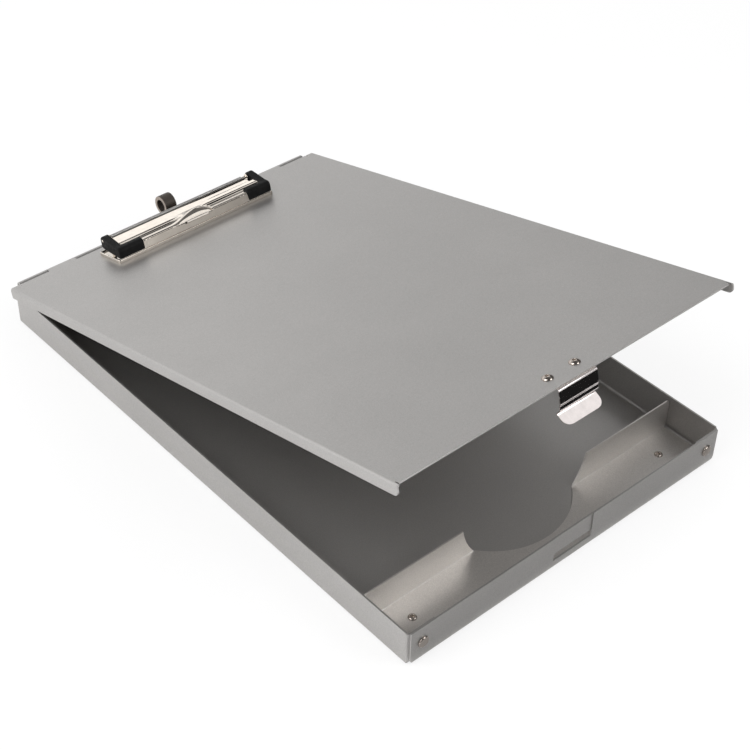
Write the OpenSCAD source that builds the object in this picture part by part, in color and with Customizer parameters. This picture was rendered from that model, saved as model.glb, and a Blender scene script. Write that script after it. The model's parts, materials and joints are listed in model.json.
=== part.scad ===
// Storage clipboard box: an aluminium tray with a pen compartment, under a
// hinged writing lid that carries a sprung paper clip and a snap latch.
// The origin is the centre of the tray's underside, +Y points at the hinge,
// and the lid is drawn standing open, as it is at rest.

/* [Tray] */
// Width of the tray over its side walls
tray_w = 231; // [200:1:260]
// Length of the tray over its front and rear walls
tray_l = 354; // [300:1:420]
// Height of the tray
tray_h = 23; // [22:0.5:35]
// Thickness of the aluminium sheet of the tray, the hinge and the lid
sheet_t = 1; // [0.8:0.1:1.2]
// Outside radius of the folds round the floor
fold_r = 2.5; // [2:0.1:4]
// How far the front and rear walls stop short of the sides
flap_inset = 1.5; // [1.2:0.1:2.5]
// Radius of the lower corners of the front and rear walls
flap_corner_r = 4.5; // [3:0.1:6]
// Length of the corner tabs folded in behind the front and rear walls
tab_l = 18; // [14:0.5:24]
// Outside radius of the upright corner folds
tab_fold_r = 2; // [1.6:0.1:2.4]
// How far the tabs stop below the tray's rim
tab_drop = 0.6; // [0.3:0.1:1.5]
// Diameter of the domed heads of the corner rivets
corner_rivet_d = 6.8; // [4:0.1:7]
// Distance of a corner rivet from the tray's side
corner_rivet_in = 9.5; // [8:0.1:12]
// Height of the corner rivets above the underside
corner_rivet_z = 12.5; // [9:0.1:15]

/* [Catch in the front wall] */
// Width of the pushed-in strip that the latch snaps under
catch_w = 28.5; // [27.8:0.1:40]
// How far the strip is pushed in
catch_push = 0.8; // [0.5:0.05:0.95]
// How far the strip stops below the rim
catch_drop = 1; // [0.9:0.1:2]
// Height of the slot's lower edge above the underside
slot_z = 6.2; // [4:0.1:6.4]
// Height of the slot below the strip
slot_h = 3.7; // [3.5:0.1:3.8]

/* [Pen divider] */
// Clear depth of the pen compartment behind the front wall
pen_depth = 34; // [28:0.5:60]
// Height of the divider above the floor
divider_h = 20.5; // [16:0.5:21]
// Thickness of the divider's sheet
divider_t = 0.8; // [0.6:0.1:1]
// Outside radius of the divider's fold
divider_fold_r = 1.3; // [1.2:0.1:2.5]
// Gap between the divider and the walls around it
divider_gap = 0.2; // [0.1:0.05:0.3]
// Radius of the round finger notch, punched before the sheet is folded
notch_r = 47; // [40:0.5:50]
// Height of the notch's centre above the floor
notch_z = 29; // [25:0.5:32]
// Rounding of the divider's upper outer corners
divider_corner_r = 2.5; // [1:0.5:4]
// Distance of a divider rivet from the tray's side
divider_rivet_in = 22.5; // [16:0.5:30]
// Distance of a divider rivet from the upright
divider_rivet_front = 13.5; // [8:0.5:18]
// Diameter of the divider rivets' heads
divider_rivet_d = 5; // [4:0.1:6]

/* [Lid] */
// Gap between the tray's sides and the lid's flanges
lid_side_gap = 1; // [0.8:0.1:2]
// Angle at which the lid stands open
lid_open = 15; // [5:0.5:40]
// Gap between the tray's rim and the closed lid
lid_gap = 0.3; // [0.2:0.05:0.6]
// How far the closed lid reaches past the front wall
lid_over = 0.7; // [0.5:0.05:0.8]
// Depth of the lid's side flanges
flange_h = 6.4; // [6:0.1:12]
// Outside radius of the folds along the lid's sides
flange_fold_r = 1.6; // [1.3:0.1:2.5]
// Rounding of the flanges' lower front ends
flange_end_r = 3.2; // [2:0.1:5]
// How far the flanges reach past the lid's front edge
flange_nose = 1.2; // [0:0.1:2]
// Width and depth of the relief slots at the lid's front corners
relief_w = 0.8; // [0.8:0.1:2]
// Length of those slots behind the lid's front edge
relief_l = 2; // [2:0.1:5]

/* [Hinge] */
// Outside radius of the hinge knuckles
knuckle_r = 2.7; // [2.4:0.1:3.2]
// Number of knuckles, the tray's and the lid's together
knuckles = 11; // [5:2:15]
// Distance of each end of the hinge from the tray's side
hinge_in = 5.5; // [4:0.5:6.5]
// Gap between neighbouring knuckles
knuckle_gap = 0.3; // [0.2:0.05:0.6]
// Radial clearance of a pin in its bore
pin_gap = 0.05; // [0.02:0.01:0.09]
// Gap between the lid's knuckles and the tray's rear wall
hinge_gap = 0.3; // [0.2:0.05:0.6]
// Distance from the hinge pin forward to the lid's rear edge between knuckles
lid_back = 3.3; // [3.2:0.1:5]
// Height of the hinge leaf on the rear wall, below the pin
leaf_h = 14; // [12:0.5:18]
// Distance from the hinge pin down to the leaf's rivets
leaf_rivet_drop = 9; // [8:0.5:10]

/* [Latch] */
// Width of the latch strip
latch_w = 27; // [20:0.1:27.4]
// Thickness of the latch strip
strip_t = 0.5; // [0.4:0.05:0.6]
// Length of the latch's foot under the lid
foot_l = 20; // [16:0.5:30]
// Radius of the bend between the latch's foot and its leg
bend_r = 0.9; // [0.7:0.05:1]
// Distance of the latch's upright leg in front of the lid's edge
leg_out = 1.25; // [1.1:0.05:1.5]
// Height of the upright leg
leg_h = 8.4; // [7:0.1:8.8]
// Step by which the stiffening bead lies further in than the leg
bead_step = 0.7; // [0.4:0.1:0.9]
// Height of the stiffening bead
bead_h = 3.5; // [3:0.1:3.6]
// How far the hook reaches in from the bead
hook_in = 2.55; // [2.3:0.05:2.6]
// Height of the slope from the bead to the hook's nose
hook_h = 2.5; // [2.3:0.1:2.7]
// How far the thumb tab reaches out from the hook's nose
thumb_out = 6.2; // [4:0.1:8]
// Height of the thumb tab below the hook's nose
thumb_h = 5.5; // [4.5:0.1:5.8]
// Corner radius of the thumb tab
thumb_r = 4.8; // [2:0.1:5.5]
// Distance between the latch rivets
latch_rivet_pitch = 19; // [12:0.5:20]
// Distance of the latch rivets behind the lid's front edge
latch_rivet_back = 10; // [7:0.5:14]
// Diameter of the latch rivets' domed heads
latch_rivet_d = 6.4; // [5:0.1:7]

/* [Paper clip] */
// Length of the clip's base plate across the lid
clip_w = 118; // [110:1:150]
// Depth of the base plate
clip_d = 23.2; // [22:0.1:30]
// Distance from the lid's rear edge to the base plate
clip_back = 9.2; // [8:0.1:20]
// Height of the base plate's pan
base_h = 2.3; // [2:0.1:3]
// Thickness of the base plate and its two ears
base_t = 0.8; // [0.6:0.1:1]
// Distance of the pivot rod in front of the base plate's rear edge
rod_in = 5.8; // [5:0.1:8]
// Height of the pivot rod above the lid
rod_z = 10.6; // [10:0.1:13]
// Radius of the pivot rod
rod_r = 1; // [0.8:0.05:1.2]
// Radius of the rounded ears round the rod
ear_r = 2.5; // [2:0.1:3]
// Distance of each ear in from the end of the base plate
ear_in = 6.8; // [6.7:0.1:9]
// Outside radius of the coiled spring on the rod
coil_r = 1.6; // [1.5:0.05:1.9]
// Gap between each end of the spring and the ear beside it
coil_gap = 0.8; // [0.4:0.1:2]
// Distance between the rivets that hold the base plate
clip_rivet_pitch = 60; // [40:1:80]
// Diameter of those rivets' heads
clip_rivet_d = 5; // [4:0.1:6]

/* [Jaw] */
// Thickness of the jaw's steel sheet
jaw_t = 0.8; // [0.6:0.05:0.9]
// Distance from the rod forward to the jaw's lip
jaw_reach = 16.8; // [14:0.1:17]
// Height of the lip's crest above the lid
crest_z = 7.3; // [6.5:0.1:8]
// How far the lip's crest leans back from its lower edge
crest_back = 0.8; // [0.4:0.1:1.5]
// Gap between the closed lip and the base plate
jaw_gap = 0.3; // [0.25:0.05:0.6]
// Distance from the rod to the rear edge of the jaw's plate
plate_back = 2.6; // [2.5:0.1:4]
// Distance of that rear edge below the rod
plate_drop = 0.3; // [0:0.1:1]
// How far the windows at the rear of the plate reach in past the ears
window_in = 2.6; // [1:0.1:3]
// Width of those windows
window_w = 4.6; // [3:0.1:4.8]
// Depth of those windows
window_d = 3.6; // [3.4:0.1:5]
// Width of the pressed arch in the middle of the lip
arch_w = 26; // [16:1:40]
// Rise of the arch above the crest
arch_h = 3.2; // [2:0.1:4]
// How far the arch's top edge lies behind the crest
arch_back = 3; // [2:0.1:4]
// How far behind the crest the arch runs out into the plate
arch_run = 8; // [6:0.1:9]
// Height of the slit under the arch
arch_slit = 0.5; // [0.3:0.1:1]
// Outside radius of the rolled lever
roll_r = 6.5; // [5:0.1:7]
// Radius of the hole through the roll
roll_hole_r = 3.8; // [2.5:0.1:4.5]
// Width of the lever and its roll
roll_w = 8; // [5:0.1:12]
// Distance from the rod back to the middle of the roll
roll_back = 16.2; // [14:0.1:18]
// Height of the middle of the roll above the lid
roll_z = 8.8; // [8.7:0.1:11]

/* [Rubber corner caps] */
// Distance of a cap's outer face in from the end of the base plate
cap_in = 1.2; // [0.5:0.1:1.2]
// Length of a cap's front arm along the lip
cap_w = 18; // [10:0.1:22]
// Width of a cap's side arm
cap_arm = 4.8; // [4:0.1:6]
// Depth of a cap's front arm
cap_d = 4.4; // [4:0.1:6]
// Distance from the rod forward to a cap's front face
cap_reach = 17.7; // [17.5:0.1:18.5]
// Radius of a cap's round end about the rod
cap_r = 2.5; // [2.3:0.1:3]
// Height of a cap's front face above the lid, at its top
cap_top = 9.3; // [8.5:0.1:10]
// Height of a cap's lower edge above the lid, at the front
cap_low = 2.7; // [2.6:0.1:3.5]
// Height of a cap's heel above the lid, below the rod
cap_heel = 5.2; // [4.5:0.1:7]
// Bevel along a cap's upper front edge and its heel
cap_bevel = 1.1; // [0.5:0.1:2]
// Clearance between a cap and the jaw inside it
cap_fit = 0.02; // [0.01:0.01:0.05]

/* [Hidden] */
$fn = 48;
// Clearance of a rivet's shank in its hole
rivet_gap = 0.05;
// Overrun of every cut, and the length of a cut that passes right through
cut = 1;
through = 20;
// Radius of a rivet's shank, height of its dome and reach of its tail, as shares of the head's diameter
shank_share = 0.26;
dome_share = 0.24;
tail_share = 0.16;
tail_d_share = 0.8;
// Angle over which the latch's bend turns, and the angles between which its nose is rounded
bend_angle = 75;
nose_angles = [135, 225];
// Radius and depth of the hollow in a divider rivet, as shares of its head's diameter
hollow_r_share = 0.17;
hollow_depth_share = 0.3;
// Radius of a divider rivet's flattened top, as a share of its head's diameter
flat_top_share = 0.4;
// Places of the hinge leaf's inner rivets, as a share of half the hinge's length
leaf_rivet_share = 0.36;
// Where the lever's tongue lies under the jaw's plate, as shares of the plate's length from its rear edge
land_shares = [0.1, 0.38];
// The tongue's way under the rod: forward as shares of roll_back, up as shares of its whole rise
tongue_shares = [[-0.5, 0.12], [-0.1, 0.33], [0.11, 0.68]];

// The hinge pin: its bore, its own radius, and where it lies
bore_r = knuckle_r - sheet_t;
pin_r = bore_r - pin_gap;
hinge_l = tray_w - 2 * hinge_in;
hinge_y = tray_l / 2 + hinge_gap + knuckle_r;
hinge_z = tray_h + lid_gap + sheet_t - knuckle_r;
knuckle_pitch = hinge_l / knuckles;
knuckle_l = knuckle_pitch - knuckle_gap;

// The lid's width and length, and where its rear relief slots lie
lid_w = tray_w + 2 * sheet_t + 2 * lid_side_gap;
lid_l = tray_l / 2 + lid_over + hinge_y - lid_back;
rear_slot_x = hinge_l / 2 + relief_w;

// The flap width, the divider's upright and the corner rivets
flap_w = tray_w - 2 * flap_inset;
front_in = -tray_l / 2 + sheet_t;
divider_y = front_in + pen_depth;
corner_rivet_x = tray_w / 2 - corner_rivet_in;
divider_rivet_x = tray_w / 2 - divider_rivet_in;
divider_rivet_y = divider_y - divider_rivet_front;
divider_w = tray_w - 2 * sheet_t - 2 * divider_gap;
divider_end_z = fold_r - sheet_t + divider_gap;
leaf_rivet_xs = [for (k = [-1, -leaf_rivet_share, leaf_rivet_share, 1])
    abs(k) == 1 ? k * corner_rivet_x : k * hinge_l / 2];
leaf_rivet_z = hinge_z - leaf_rivet_drop;

// The latch's bend, hook and thumb tab, from the lid's front edge and top
flex_out = leg_out - bend_r;
flex_z = -sheet_t - strip_t / 2;
leg_end = flex_z - leg_h;
bead_out = leg_out - bead_step;
bead_end = leg_end - bead_h;
nose_out = bead_out - hook_in;
nose_z = bead_end - hook_h;

// The clip's rod, seen from the lid's rear edge, its ears and its spring
rod_u = clip_back + rod_in;
rod_l = clip_w - 2 * rod_r;
ear_x = clip_w / 2 - ear_in;
coil_l = 2 * (ear_x - base_t / 2 - coil_gap);
cap_out = clip_w / 2 - cap_in;
cheek_x = cap_out - cap_arm / 2 - jaw_t;
jaw_w = 2 * cheek_x + jaw_t;
lip_z = base_h + jaw_gap;

// Points of the jaw's section, forward of the rod and above the lid
lip_foot = [jaw_reach, lip_z];
lip_crest = [jaw_reach - crest_back, crest_z];
plate_end = [plate_back, rod_z - plate_drop];
plate_dir = (plate_end - lip_crest) / norm(plate_end - lip_crest);
plate_up = [plate_dir[1], -plate_dir[0]];

// The arch pressed up in the middle of the lip: its section and its hollow below
arch_top = lip_crest + [-arch_back, arch_h];
arch_outline = [lip_crest + [jaw_t / 2, 0], arch_top,
    lip_crest + arch_run * plate_dir + plate_up * jaw_t / 2, lip_crest + arch_run * plate_dir];
arch_foot = lip_crest + (arch_run - 2 * jaw_t) * plate_dir;
arch_hollow = [lip_crest - [jaw_t / 2, 0], arch_top - [jaw_t / 2, jaw_t],
    arch_foot, arch_foot - plate_up * jaw_t, lip_crest - [jaw_t / 2, jaw_t]];

// Outline helpers: a strip of one thickness along a line of points
function unit(v) = v / norm(v);
function left_of(v) = [-v[1], v[0]];
function offset_at(p, i) =
    let (last = len(p) - 1,
         before = unit(p[max(i, 1)] - p[max(i, 1) - 1]),
         after = unit(p[min(i, last - 1) + 1] - p[min(i, last - 1)]),
         middle = unit(left_of(before) + left_of(after)))
    middle / (middle * left_of(after));
function strip(p, t) = concat(
    [for (i = [0:len(p) - 1]) p[i] + offset_at(p, i) * t / 2],
    [for (i = [len(p) - 1:-1:0]) p[i] - offset_at(p, i) * t / 2]);
function arc(c, r, from, to, steps = 6) =
    [for (i = [0:steps]) c + r * [cos(from + (to - from) * i / steps), sin(from + (to - from) * i / steps)]];

// Extrudes an outline drawn forward and up, across the width w centred on x
module across(w, x = 0)
    translate([x + w / 2, 0, 0]) rotate([90, 0, -90]) linear_extrude(w) children();

// Extrudes an outline drawn across and up, backward over the length l from y
module backward(l, y = 0)
    translate([0, y + l, 0]) rotate([90, 0, 0]) linear_extrude(l) children();

// Places what is drawn from the lid's rear edge and top face
module on_lid()
    translate([0, hinge_y, hinge_z]) rotate([-lid_open, 0, 0])
        translate([0, -lid_back, knuckle_r]) children();

// Places what is drawn from the foot of the pivot rod's axis on the lid
module on_clip()
    on_lid() translate([0, -rod_u, 0]) children();

// A domed rivet with its head's seat at zero: grip is what it holds
module rivet(head_d, grip) {
    dome_h = head_d * dome_share;
    dome_r = (head_d * head_d / 4 + dome_h * dome_h) / (2 * dome_h);
    intersection() {
        translate([0, 0, dome_h - dome_r]) sphere(dome_r, $fn = 96);
        cylinder(r = head_d / 2, h = dome_h);
    }
    translate([0, 0, -grip]) cylinder(r = head_d * shank_share, h = grip);
    translate([0, 0, -grip - head_d * tail_share])
        cylinder(r = head_d * tail_d_share / 2, h = head_d * tail_share);
}

module rivet_hole(head_d)
    cylinder(r = head_d * shank_share + rivet_gap, h = through, center = true);

// An upright strip with rounded lower corners, such as a folded-up wall
module wall_outline(w, h, r) {
    translate([-w / 2, r]) square([w, h - r]);
    translate([-w / 2 + r, 0]) square([w - 2 * r, r]);
    for (s = [-1, 1])
        translate([s * (w / 2 - r), r]) circle(r);
}

// A trough of sheet: a floor and two walls with round folds
module trough_outline(w, h, r, t)
    difference() {
        wall_outline(w, h, r);
        translate([0, t]) wall_outline(w - 2 * t, h, r - t);
    }

// One corner of the tray: the side wall's end, its upright fold and its tab
module corner_tab()
    translate([0, 0, fold_r]) linear_extrude(tray_h - tab_drop - fold_r) {
        x_out = tray_w / 2;
        y_out = front_in;
        difference() {
            intersection() {
                translate([x_out - tab_fold_r, y_out + tab_fold_r]) circle(tab_fold_r);
                translate([x_out - tab_fold_r, y_out]) square(tab_fold_r);
            }
            translate([x_out - tab_fold_r, y_out + tab_fold_r]) circle(tab_fold_r - sheet_t);
        }
        translate([x_out - tab_l, y_out]) square([tab_l - tab_fold_r, sheet_t]);
        translate([x_out - sheet_t, y_out + tab_fold_r]) square([sheet_t, fold_r]);
    }

module tray_shell()
    color("silver") difference() {
        union() {
            backward(tray_l - 2 * fold_r, -tray_l / 2 + fold_r)
                trough_outline(tray_w, tray_h, fold_r, sheet_t);
            difference() {
                across(flap_w) trough_outline(tray_l, tray_h, fold_r, sheet_t);
                for (s = [-1, 1], e = [0, 1])
                    mirror([0, e, 0]) translate([s * flap_w / 2, -tray_l / 2 - cut, 0]) flap_corner(s);
            }
            for (s = [0, 1], e = [0, 1])
                mirror([s, 0, 0]) mirror([0, e, 0]) corner_tab();
            translate([-catch_w / 2 - sheet_t, -tray_l / 2 + catch_push, slot_z + slot_h])
                cube([catch_w + 2 * sheet_t, sheet_t, tray_h - catch_drop - slot_z - slot_h]);
        }
        translate([-catch_w / 2, -tray_l / 2 - cut, slot_z])
            cube([catch_w, cut + catch_push, tray_h]);
        translate([-catch_w / 2, -tray_l / 2 - cut, slot_z])
            cube([catch_w, cut + 2 * sheet_t, slot_h]);
        translate([-catch_w / 2, -tray_l / 2 - cut, tray_h - catch_drop])
            cube([catch_w, cut + 2 * sheet_t, tray_h]);
        for (s = [-1, 1])
            translate([s * corner_rivet_x, -tray_l / 2, corner_rivet_z])
                rotate([90, 0, 0]) rivet_hole(corner_rivet_d);
        for (x = leaf_rivet_xs)
            translate([x, tray_l / 2, leaf_rivet_z]) rotate([90, 0, 0]) rivet_hole(corner_rivet_d);
        for (s = [-1, 1])
            translate([s * divider_rivet_x, divider_rivet_y, 0]) divider_rivet_hole();
    }

// What is cut away below and beside a flap's rounded lower corner
module flap_corner(side)
    difference() {
        translate([side > 0 ? -flap_corner_r : -cut, 0, -cut])
            cube([flap_corner_r + cut, cut + fold_r, flap_corner_r + cut]);
        translate([-side * flap_corner_r, 0, flap_corner_r])
            rotate([90, 0, 0]) cylinder(r = flap_corner_r, h = through, center = true);
    }

// The shank and countersunk lower end of a divider rivet, widened by a gap
module divider_shank(gap) {
    shank_r = divider_rivet_d * shank_share + gap;
    cylinder(r1 = shank_r + sheet_t / 2, r2 = shank_r, h = sheet_t / 2);
    cylinder(r = shank_r, h = sheet_t + divider_t);
}

module divider_rivet_hole() {
    divider_shank(rivet_gap);
    translate([0, 0, -cut])
        cylinder(r = divider_rivet_d * shank_share + rivet_gap + sheet_t / 2, h = cut);
}

module divider_rivet(side)
    translate([side * divider_rivet_x, divider_rivet_y, 0])
        difference() {
            union() {
                divider_shank(0);
                translate([0, 0, sheet_t + divider_t])
                    cylinder(r1 = divider_rivet_d / 2, r2 = divider_rivet_d * flat_top_share,
                        h = divider_rivet_d * tail_share);
            }
            translate([0, 0, sheet_t + divider_t + divider_rivet_d * (tail_share - hollow_depth_share)])
                cylinder(r = divider_rivet_d * hollow_r_share, h = divider_rivet_d);
        }

module divider_rivet_left() color("gainsboro") divider_rivet(-1);
module divider_rivet_right() color("gainsboro") divider_rivet(1);

module pen_divider()
    color("darkgray") difference() {
        translate([0, 0, sheet_t]) {
            across(tray_w - 2 * fold_r - 2 * divider_gap) divider_outline();
            across(divider_w) translate([-divider_y - divider_t, divider_end_z])
                square([divider_t, divider_h - divider_end_z]);
        }
        translate([0, divider_y + divider_t - divider_fold_r, sheet_t + notch_z]) rotate([-90, 0, 0])
            cylinder(r = notch_r, h = divider_fold_r + cut, $fn = 96);
        translate([0, divider_y + notch_z, 0])
            cylinder(r = notch_r, h = sheet_t + divider_fold_r, $fn = 96);
        for (s = [-1, 1]) {
            translate([s * divider_rivet_x, divider_rivet_y, 0]) divider_rivet_hole();
            translate([s * divider_w / 2, divider_y, sheet_t + divider_h]) divider_corner(s);
        }
    }

// The divider's section, forward and up from the floor: strip, fold and upright
module divider_outline() {
    rear_u = -divider_y - divider_t;
    front_u = -front_in - (fold_r - sheet_t) - divider_gap;
    fold_at = [rear_u + divider_fold_r, divider_fold_r];
    middle_r = divider_fold_r - divider_t / 2;
    polygon(strip(concat([[rear_u + divider_t / 2, divider_h]],
        arc(fold_at, middle_r, 180, 270, 8), [[front_u, divider_t / 2]]), divider_t));
}

// What is cut away outside a divider's rounded upper corner
module divider_corner(side)
    difference() {
        translate([side > 0 ? -divider_corner_r : -cut, -cut, -divider_corner_r])
            cube([divider_corner_r + cut, 2 * cut + divider_t, divider_corner_r + cut]);
        translate([-side * divider_corner_r, 0, -divider_corner_r]) rotate([90, 0, 0])
            cylinder(r = divider_corner_r, h = through, center = true);
    }

// A hinge knuckle and a pin's bore along the hinge, from x over the length l
module knuckle(x, l)
    translate([x, 0, 0]) rotate([0, 90, 0]) difference() {
        cylinder(r = knuckle_r, h = l);
        translate([0, 0, -cut]) cylinder(r = bore_r, h = l + 2 * cut);
    }

// Where knuckle k starts, and its length between two gaps
function knuckle_x(k) = -hinge_l / 2 + k * knuckle_pitch + knuckle_gap / 2;

module hinge_leaf()
    color("silver") difference() {
        union() {
            translate([-hinge_l / 2, tray_l / 2, hinge_z - leaf_h])
                cube([hinge_l, sheet_t, leaf_h - knuckle_r - hinge_gap]);
            for (k = [0:2:knuckles - 1]) {
                translate([knuckle_x(k), tray_l / 2, hinge_z - leaf_h]) cube([knuckle_l, sheet_t, leaf_h]);
                translate([0, hinge_y, hinge_z]) knuckle(knuckle_x(k), knuckle_l);
            }
        }
        translate([-hinge_l / 2 - cut, hinge_y, hinge_z]) rotate([0, 90, 0])
            cylinder(r = bore_r, h = hinge_l + 2 * cut);
        for (x = leaf_rivet_xs)
            translate([x, tray_l / 2, leaf_rivet_z]) rotate([90, 0, 0]) rivet_hole(corner_rivet_d);
    }

module hinge_leaf_rivets()
    color("gainsboro") for (x = leaf_rivet_xs)
        translate([x, tray_l / 2 + sheet_t, leaf_rivet_z]) rotate([-90, 0, 0])
            rivet(corner_rivet_d, abs(x) == corner_rivet_x ? 3 * sheet_t : 2 * sheet_t);

module hinge_pin()
    color("silver") translate([-hinge_l / 2, hinge_y, hinge_z]) rotate([0, 90, 0])
        cylinder(r = pin_r, h = hinge_l);

module front_rivet(side)
    translate([side * corner_rivet_x, -tray_l / 2, corner_rivet_z]) rotate([90, 0, 0])
        rivet(corner_rivet_d, 2 * sheet_t);

module front_rivet_left() color("gainsboro") front_rivet(-1);
module front_rivet_right() color("gainsboro") front_rivet(1);

// The lid's section across: top face, folds and side flanges
module lid_outline()
    mirror([0, 1]) trough_outline(lid_w, flange_h, flange_fold_r, sheet_t);

module lid_panel()
    color("silver") on_lid() difference() {
        union() {
            backward(lid_l + flange_nose, -lid_l - flange_nose) lid_outline();
            for (k = [1:2:knuckles - 2]) {
                translate([knuckle_x(k), -cut, -sheet_t]) cube([knuckle_l, lid_back + cut, sheet_t]);
                translate([0, lid_back, -knuckle_r]) knuckle(knuckle_x(k), knuckle_l);
            }
        }
        translate([-hinge_l / 2, lid_back, -knuckle_r]) rotate([0, 90, 0])
            cylinder(r = bore_r, h = hinge_l);
        translate([-lid_w / 2 + flange_fold_r, -lid_l - flange_nose - cut, -sheet_t - cut])
            cube([lid_w - 2 * flange_fold_r, flange_nose + cut, sheet_t + 2 * cut]);
        for (s = [0, 1]) mirror([s, 0, 0]) {
            translate([lid_w / 2 - flange_fold_r - relief_w, -lid_l - cut, -sheet_t - cut])
                cube([relief_w, relief_l + cut, sheet_t + 2 * cut]);
            translate([rear_slot_x, -relief_l, -sheet_t - cut])
                cube([relief_w, relief_l + cut, sheet_t + 2 * cut]);
            translate([lid_w / 2 - sheet_t - cut, -lid_l - flange_nose, -flange_h]) flange_end();
        }
        for (s = [-1, 1]) {
            translate([s * latch_rivet_pitch / 2, -lid_l + latch_rivet_back, 0]) rivet_hole(latch_rivet_d);
            translate([s * clip_rivet_pitch / 2, -clip_back - clip_d / 2, 0]) rivet_hole(clip_rivet_d);
        }
    }

// What is cut away round a flange's lower front end
module flange_end()
    difference() {
        translate([0, -cut, -cut]) cube([sheet_t + 2 * cut, flange_end_r + cut, flange_end_r + cut]);
        translate([0, flange_end_r, flange_end_r]) rotate([0, 90, 0])
            cylinder(r = flange_end_r, h = through, center = true);
    }

module latch_rivet(side)
    on_lid() translate([side * latch_rivet_pitch / 2, -lid_l + latch_rivet_back, 0])
        rivet(latch_rivet_d, sheet_t + strip_t);

module latch_rivet_left() color("gainsboro") latch_rivet(-1);
module latch_rivet_right() color("gainsboro") latch_rivet(1);

// The part of the latch strip that is riveted under the lid
module latch_foot()
    color("lightgray") on_lid() difference() {
        translate([-latch_w / 2, -lid_l - flex_out + strip_t / 2 + pin_gap, -sheet_t - strip_t])
            cube([latch_w, foot_l + flex_out - strip_t / 2 - pin_gap, strip_t]);
        for (s = [-1, 1])
            translate([s * latch_rivet_pitch / 2, -lid_l + latch_rivet_back, 0]) rivet_hole(latch_rivet_d);
    }

// The springing part of the latch strip: bend, leg, bead, hook and thumb tab
module latch_leaf() {
    middle = concat([[flex_out, flex_z]],
        arc([flex_out, flex_z - bend_r], bend_r, bend_angle, 0, 5),
        [[leg_out, leg_end], [bead_out, leg_end - bead_step], [bead_out, bead_end]],
        arc([nose_out + strip_t, nose_z], strip_t, nose_angles[0], nose_angles[1], 4),
        [[nose_out + thumb_out, nose_z - thumb_h]]);
    thumb_dir = unit([thumb_out - strip_t, -thumb_h + strip_t]);
    color("whitesmoke") on_lid() translate([0, -lid_l, 0]) difference() {
        union() {
            across(latch_w) polygon(strip(middle, strip_t));
            across(latch_w) translate([flex_out, flex_z]) circle(strip_t / 2, $fn = 24);
        }
        translate([0, -nose_out - thumb_out, nose_z - thumb_h])
            rotate([atan2(thumb_dir[1], thumb_dir[0]), 0, 0]) thumb_corners();
    }
}

// What is cut away round the thumb tab's corners, the tab lying along +Y
module thumb_corners()
    for (s = [0, 1]) mirror([s, 0, 0]) difference() {
        translate([latch_w / 2 - thumb_r, -cut, -cut]) cube([thumb_r + cut, thumb_r + cut, 2 * cut]);
        translate([latch_w / 2 - thumb_r, thumb_r, 0]) cylinder(r = thumb_r, h = through, center = true);
    }

// The clip's base: an upturned pan with two ears that hold the pivot rod
module clip_base()
    color("gainsboro") on_lid() difference() {
        union() {
            difference() {
                translate([-clip_w / 2, -clip_back - clip_d, 0]) cube([clip_w, clip_d, base_h]);
                translate([-clip_w / 2 + base_t, -clip_back - clip_d + base_t, -cut])
                    cube([clip_w - 2 * base_t, clip_d - 2 * base_t, base_h - base_t + cut]);
            }
            for (s = [-1, 1])
                translate([0, -rod_u, 0]) across(base_t, s * ear_x) {
                    translate([-ear_r, base_h - base_t]) square([2 * ear_r, rod_z - base_h + base_t]);
                    translate([0, rod_z]) circle(ear_r);
                }
        }
        translate([-clip_w / 2, -rod_u, rod_z]) rotate([0, 90, 0]) cylinder(r = rod_r + pin_gap, h = clip_w);
        for (s = [-1, 1])
            translate([s * clip_rivet_pitch / 2, -clip_back - clip_d / 2, 0]) rivet_hole(clip_rivet_d);
    }

module clip_rivet(side)
    on_lid() translate([side * clip_rivet_pitch / 2, -clip_back - clip_d / 2, base_h])
        rivet(clip_rivet_d, base_h + sheet_t);

module clip_rivet_left() color("gainsboro") clip_rivet(-1);
module clip_rivet_right() color("gainsboro") clip_rivet(1);

module clip_rod()
    color("white") on_clip() translate([-rod_l / 2, 0, rod_z]) rotate([0, 90, 0])
        cylinder(r = rod_r, h = rod_l);

module clip_spring()
    color("dimgray") on_clip() translate([-coil_l / 2, 0, rod_z]) rotate([0, 90, 0]) difference() {
        cylinder(r = coil_r, h = coil_l);
        translate([0, 0, -cut]) cylinder(r = rod_r + pin_gap, h = coil_l + 2 * cut);
    }

// The jaw's sheet, thickened by the clearance that a cap leaves round it
module jaw_sheet(gap, w) {
    across(w) polygon(strip([lip_foot - [0, gap], lip_crest, plate_end + gap * plate_dir], jaw_t + 2 * gap));
    for (s = [-1, 1])
        across(jaw_t + 2 * gap, s * cheek_x) cheek_outline(gap);
}

// A cheek at the jaw's end, round the rod and up to the plate
module cheek_outline(gap) {
    low = [jaw_reach - crest_back, lip_z + cap_bevel];
    translate([0, rod_z]) circle(ear_r - base_t + gap);
    polygon([[0, rod_z + ear_r - base_t + gap], plate_end + [0, gap], lip_crest + [0, gap],
        lip_foot + [gap, -gap], low - [0, gap], [0, rod_z - ear_r + base_t - gap]]);
}

module jaw_plate()
    color("whitesmoke") on_clip() difference() {
        union() {
            jaw_sheet(0, jaw_w);
            arch_body(arch_outline, 0);
        }
        arch_body(arch_hollow, jaw_t);
        translate([-arch_w / 2 + jaw_t, -jaw_reach - cut, crest_z - arch_slit])
            cube([arch_w - 2 * jaw_t, cut + 2 * jaw_t, arch_slit]);
        for (s = [0, 1]) mirror([s, 0, 0])
            translate([ear_x - base_t / 2 - window_in, -plate_back - window_d, crest_z])
                cube([window_w, plate_back + window_d, through]);
        translate([-jaw_w / 2 - cut, 0, rod_z]) rotate([0, 90, 0])
            cylinder(r = rod_r + pin_gap, h = jaw_w + 2 * cut);
    }

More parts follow.
